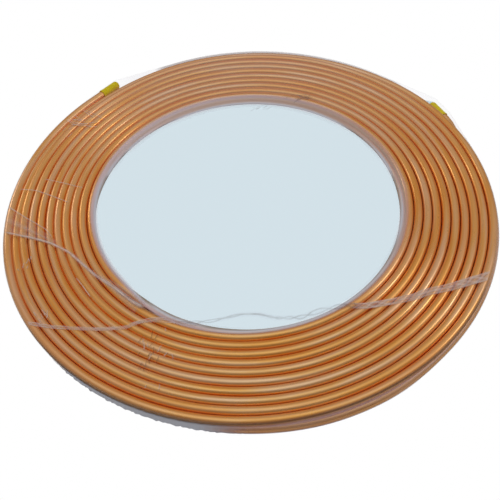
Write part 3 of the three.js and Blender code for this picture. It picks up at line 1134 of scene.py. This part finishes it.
# the chosen points joined by straight lines, cut into even steps, and smoothed by averaging neighbours
def alongLine(points):
    points = np.array(points, dtype=float) * mm
    apart = np.concatenate([[0], np.cumsum(np.linalg.norm(np.diff(points, axis=0), axis=1))])
    fine = np.linspace(0, apart[-1], max(int(apart[-1] / foldLook["step"]), 6) + 1)
    line = np.stack([np.interp(fine, apart, points[:, i]) for i in (0, 1)], axis=1)
    for _ in range(foldLook["rounding"]):
        line[1:-1] = 0.25 * line[:-2] + 0.5 * line[1:-1] + 0.25 * line[2:]
    return line, fine


# how strong a fold is over its width, by the make: a line is one bell curve, a haze is an arch with streaks,
# and lines and braids are two bell curves that swing across each other along the run
def foldShape(make, across, run):
    whole = np.ones((len(run), 1))
    if make == "line":
        return bell(across, 0, foldLook["lineWidth"])[None, :] * whole
    if make == "haze":
        even, streaks = foldLook["haze"]
        return (even + streaks * np.sin(across * 9 + 1)) * (1 - across**2) * whole
    reach, change = foldLook["swing"]
    rate, slowRate, slowestRate = foldLook["swingRates"]
    swing = np.sin(run * rate + foldLook["swingDrift"] * np.sin(run * slowRate))
    swing = (reach + change * np.sin(run * slowestRate + 1)) * swing
    strands = bell(across, swing[:, None], foldLook["strandWidth"])
    strands = strands + bell(across, -swing[:, None], foldLook["strandWidth"])
    if make == "lines":
        ground, line = foldLook["lines"]
        return np.clip(ground * (1 - across**4) + line * strands, 0, 1)
    ground, line, edge = foldLook["braid"]  # a twisted pleat between two edges
    edges = bell(np.abs(across), foldLook["edgePlace"], foldLook["edgeWidth"])
    return np.clip(ground * (1 - across**6) + line * strands + edge * edges, 0, 1)


# height of the film itself under a fold
def filmHeight(x, y):
    angles = np.arctan2(y, x)
    return boreHeight(np.hypot(x, y), angles, upperInner(np.degrees(angles) % 360))


# points and haze of one fold: a strip along its line, arched over its width, that lies on the film
def foldStrip(fold, random):
    across = np.linspace(-1, 1, foldLook["across"])
    line, run = alongLine(fold["line"])
    tangent = np.gradient(line, axis=0)
    tangent /= np.linalg.norm(tangent, axis=1)[:, None]
    part = run / run[-1]
    width = mix(fold["width"][0], fold["width"][1], part) * mm
    offset = across[None, :] * width[:, None] / 2
    x = line[:, 0, None] - tangent[:, 1, None] * offset
    y = line[:, 1, None] + tangent[:, 0, None] * offset
    ridgeShare, ridgeMost = foldLook["ridge"]
    ridge = (1 - across**2)[None, :] * np.minimum(width * ridgeShare, ridgeMost)[:, None]
    if "height" in fold:
        z = fold["height"] * mm + ridge
    else:
        rim = upperRim(np.degrees(np.arctan2(y, x)) % 360)[0] + 0.5 * filmReach  # a fold ends at the rim
        back = np.minimum(1, rim / np.hypot(x, y))
        x, y = x * back, y * back
        z = filmHeight(x, y) + foldLook["lift"] + ridge
    step = foldLook["roughStep"]
    places = np.arange(0, run[-1] / mm + 2 * step + 1, step)
    rough = np.interp(run / mm, places, random.uniform(*foldLook["roughRange"], len(places)))
    fade = foldLook["fadeEnds"]
    ends = plateau(part, (0, fade, 1 - fade, 1))
    haze = fold["strength"] * foldShape(fold["make"], across, run / mm) * (rough * ends)[:, None]
    haze[:, [0, -1]] = 0
    return np.stack([x, y, z], axis=-1), haze


# all folds in one mesh, each with its own strip of a grid
def buildFolds():
    random = np.random.default_rng(5)
    allPoints, allFaces, allHaze, allTone = [], [], [], []
    start = 0
    for fold in folds + scratchLines(random):
        strip, haze = foldStrip(fold, random)
        allPoints.append(strip.reshape(-1, 3))
        allFaces += gridFaces(*haze.shape, closed=False, start=start)
        allHaze.append(haze.ravel())
        allTone.append(np.zeros((haze.size, 3)) + tone(fold.get("tone", "fold")))
        start += haze.size
    points = np.concatenate(allPoints)
    thing = meshObject("film_folds", points, allFaces, filmLook)
    putValues(thing, "haze", "FLOAT", np.concatenate(allHaze))
    putValues(thing, "overBore", "FLOAT", np.zeros(len(points)))
    putValues(thing, "hazeTone", "FLOAT_VECTOR", np.concatenate(allTone))
    print("folds", len(allFaces), "faces")
    return thing


filmWrap = buildFilm()
buildFolds()

# the room: a white floor and background for the camera alone, and the light that the coil gets
room = {
    "floor": (0.86, 0.86, 0.86),
    "floorHalf": 6.0,
    "seen": 1.0,  # 1 is white
    "sky": [  # brightness by the height of the direction, from level to straight up
        (0.0, (0.37, 0.31, 0.27)),
        (0.35, (0.43, 0.37, 0.32)),
        (0.74, (0.46, 0.40, 0.35)),
        (0.88, (0.60, 0.61, 0.63)),
        (1.0, (0.85, 0.95, 1.0)),
    ],
    "behindFrom": (-0.05, -0.75),  # the side of the room behind the camera is darker
    "behindLight": (1.0, 0.55),
}


# a square floor that lights the coil as a pale matte one does, and that the camera sees as white
def addFloor():
    material, nodes, links = newMaterial("paleFloor")
    output = nodes.new("ShaderNodeOutputMaterial")
    matte = node(nodes, "ShaderNodeBsdfDiffuse", Color=(*room["floor"], 1))
    bright = node(nodes, "ShaderNodeEmission", Strength=room["seen"])
    byCamera = nodes.new("ShaderNodeLightPath").outputs["Is Camera Ray"]
    surface = mixShaders(nodes, links, byCamera, matte.outputs["BSDF"], bright.outputs["Emission"])
    links.new(surface, output.inputs["Surface"])
    mesh = bpy.data.meshes.new("floor")
    s = room["floorHalf"]
    mesh.from_pydata([(-s, -s, 0), (s, -s, 0), (s, s, 0), (-s, s, 0)], [], [(0, 1, 2, 3)])
    floor = bpy.data.objects.new("floor", mesh)
    mesh.materials.append(material)
    bpy.context.scene.collection.objects.link(floor)


# the world's light: the sky's ramp over the height of a direction, dimmed by a ramp over its depth
def addSky():
    world = bpy.data.worlds.new("studio")
    bpy.context.scene.world = world
    world.use_nodes = True
    nodes, links = world.node_tree.nodes, world.node_tree.links
    nodes.clear()
    output = nodes.new("ShaderNodeOutputWorld")
    direction = nodes.new("ShaderNodeSeparateXYZ")
    links.new(nodes.new("ShaderNodeTexCoord").outputs["Generated"], direction.inputs["Vector"])
    sky = ramp(nodes, links, direction.outputs["Z"], room["sky"])
    behind = mapRange(nodes, links, direction.outputs["Y"], room["behindFrom"], room["behindLight"])
    dimmed = nodes.new("ShaderNodeVectorMath")
    dimmed.operation = "SCALE"
    links.new(sky, dimmed.inputs[0])
    links.new(behind, dimmed.inputs["Scale"])
    soft = node(nodes, "ShaderNodeBackground", Strength=1.0)
    links.new(dimmed.outputs["Vector"], soft.inputs["Color"])
    seen = node(nodes, "ShaderNodeBackground", Color=(1, 1, 1, 1))
    byCamera = nodes.new("ShaderNodeLightPath").outputs["Is Camera Ray"]
    surface = mixShaders(nodes, links, byCamera, soft.outputs["Background"], seen.outputs["Background"])
    links.new(surface, output.inputs["Surface"])


addFloor()
addSky()

# azimuth and elevation of each lamp as seen from the coil, in degrees, then distance, size and power
lamps = {
    "right": (2, 40, 2.2, 0.6, 2.6),
    "window": (139, 22, 2.6, 0.6, 2.0),
}


# a round lamp on a sphere about the coil, which points at its middle
def addLamp(name, azimuth, elevation, distance, size, power):
    data = bpy.data.lights.new(name, "AREA")
    data.shape = "DISK"
    data.size = size
    data.energy = power
    lamp = bpy.data.objects.new(name, data)
    a, e = math.radians(azimuth), math.radians(elevation)
    lamp.location = Vector((math.cos(a) * math.cos(e), math.sin(a) * math.cos(e), math.sin(e))) * distance
    lamp.rotation_euler = (-lamp.location).to_track_quat("-Z", "Y").to_euler()
    bpy.context.scene.collection.objects.link(lamp)


for name, facts in lamps.items():
    addLamp(name, *facts)

view = {
    "place": (0.0, -537.8 * mm, 603.9 * mm),
    "target": (-0.8 * mm, -73.9 * mm, 15.0 * mm),
    "roll": -3.57,
    "lens": 51.41,
    "sensor": 36,
    "shift": (-0.0018, 0.0016),
    "clipStart": 0.01,
}


# a camera that looks from its place at its target, turned by its roll about that line
def addCamera():
    data = bpy.data.cameras.new("camera")
    data.lens = view["lens"]
    data.sensor_width = view["sensor"]
    data.shift_x, data.shift_y = view["shift"]
    data.clip_start = view["clipStart"]
    camera = bpy.data.objects.new("camera", data)
    forward = (Vector(view["target"]) - Vector(view["place"])).normalized()
    right = forward.cross(Vector((0, 0, 1))).normalized()
    up = right.cross(forward)
    roll = math.radians(view["roll"])
    across = math.cos(roll) * right + math.sin(roll) * up
    over = -math.sin(roll) * right + math.cos(roll) * up
    turned = Matrix((across, over, -forward)).transposed().to_4x4()
    camera.matrix_world = Matrix.Translation(view["place"]) @ turned
    bpy.context.scene.collection.objects.link(camera)
    bpy.context.scene.camera = camera


addCamera()
bpy.context.scene.view_settings.view_transform = "Standard"
print("stage set")
